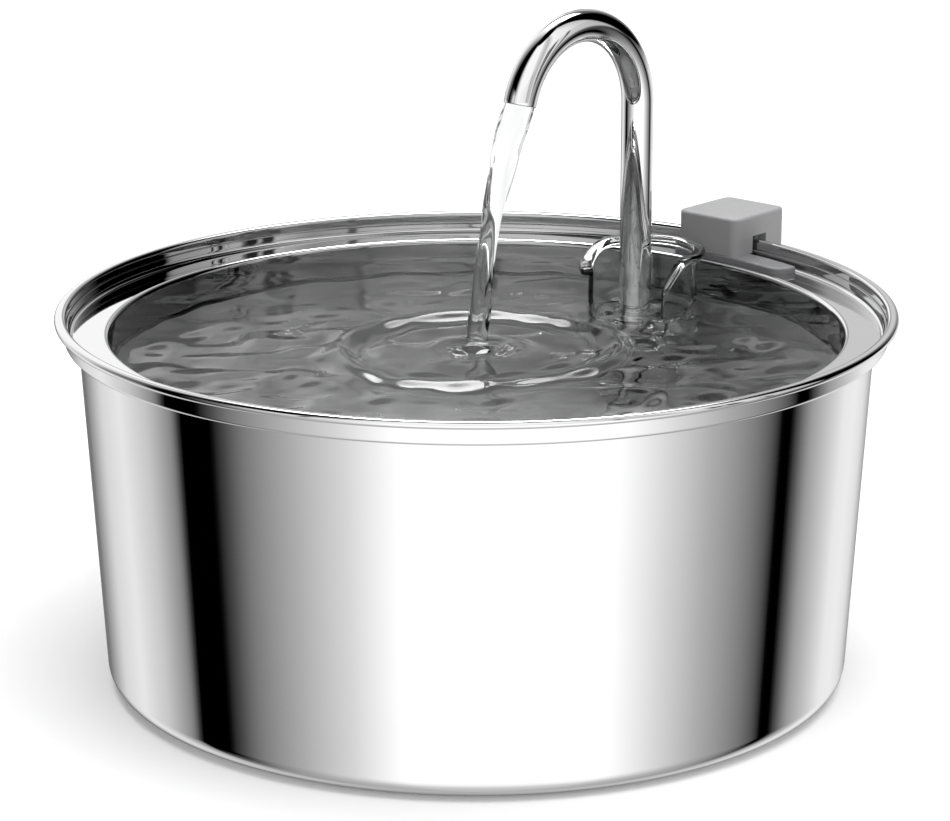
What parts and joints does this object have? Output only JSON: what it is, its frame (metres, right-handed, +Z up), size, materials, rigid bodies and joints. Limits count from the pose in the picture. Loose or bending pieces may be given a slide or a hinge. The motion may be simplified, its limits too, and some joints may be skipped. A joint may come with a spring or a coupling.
{
  "type": "pet water fountain",
  "caption": "Round stepped-rim steel drinking bowl with a clear submerged pump housing, a polished gooseneck spout that turns, and a grey clip over the rim.",
  "frame": {"origin": "centre of the bowl's footprint, on the surface that it stands on", "axes": "+Z up; +X to the right and +Y away from someone facing the front, with the spout and the clip at the back right"},
  "size_m": [0.25, 0.25, 0.1938],
  "materials": {
    "polished_steel": "mirror-polished stainless sheet",
    "spout_steel": "mirror-polished stainless tube",
    "base_silicone": "matt silicone pad",
    "clear_plastic": "clear moulded plastic",
    "clear_silicone": "translucent silicone",
    "foam": "open-cell foam",
    "carbon_pad": "non-woven pad filled with carbon",
    "dark_plastic": "moulded plastic",
    "lamination_steel": "stamped laminations",
    "copper_wire": "enamelled winding wire",
    "circuit_board": "glass-epoxy board",
    "screw_steel": "bright steel",
    "shaft_ceramic": "ground ceramic",
    "dark_silicone": "silicone rubber",
    "rotor_plastic": "moulded plastic",
    "magnet": "sintered ferrite",
    "clip_plastic": "fine-textured moulded plastic",
    "foot_silicone": "matt silicone"
  },
  "bodies": {
    "bowl": {"outer_shell": "polished_steel", "inner_bowl": "polished_steel", "base_pad": "base_silicone"},
    "pump_unit": {"housing_cup": "clear_plastic", "housing_base": "clear_plastic", "suction_feet": "clear_silicone", "filter_foam": "foam", "filter_carbon": "carbon_pad", "pump_cradle": "dark_plastic", "pump_body": "dark_plastic", "pump_back_cap": "dark_plastic", "stator_core": "lamination_steel", "stator_coils": "copper_wire", "driver_board": "circuit_board", "pump_cover": "dark_plastic", "pump_screws": "screw_steel", "rotor_shaft": "shaft_ceramic", "shaft_bushes": "dark_silicone", "pump_gland": "dark_silicone", "spout_socket": "dark_silicone", "socket_orings": "dark_silicone", "housing_deck": "clear_plastic", "deck_grommet": "clear_silicone"},
    "spout": {"spout_tube": "spout_steel", "spout_collar": "clear_plastic"},
    "rotor": {"impeller": "rotor_plastic", "rotor_magnet": "magnet"},
    "rim_clip": {"clip_hood": "clip_plastic", "clip_saddle": "clip_plastic", "clip_screws": "screw_steel", "clip_grommets": "foot_silicone", "clip_grips": "foot_silicone", "clip_foot": "foot_silicone"}
  },
  "joints": [
    {"name": "pump_lift", "type": "slide", "parent": "bowl", "child": "pump_unit", "axis": [0, 0, 1], "range_m": [0, 0.12]},
    {"name": "spout_swivel", "type": "hinge", "parent": "pump_unit", "child": "spout", "pos_m": [0.0503, 0.0694, 0.088], "axis": [0, 0, 1], "range_deg": [-50, 50]},
    {"name": "impeller_spin", "type": "hinge", "parent": "pump_unit", "child": "rotor", "pos_m": [0.0503, 0.07, 0.0376], "axis": [0, 1, 0], "continuous": true},
    {"name": "clip_lift", "type": "slide", "parent": "bowl", "child": "rim_clip", "axis": [0, 0, 1], "range_m": [0, 0.03]}
  ]
}
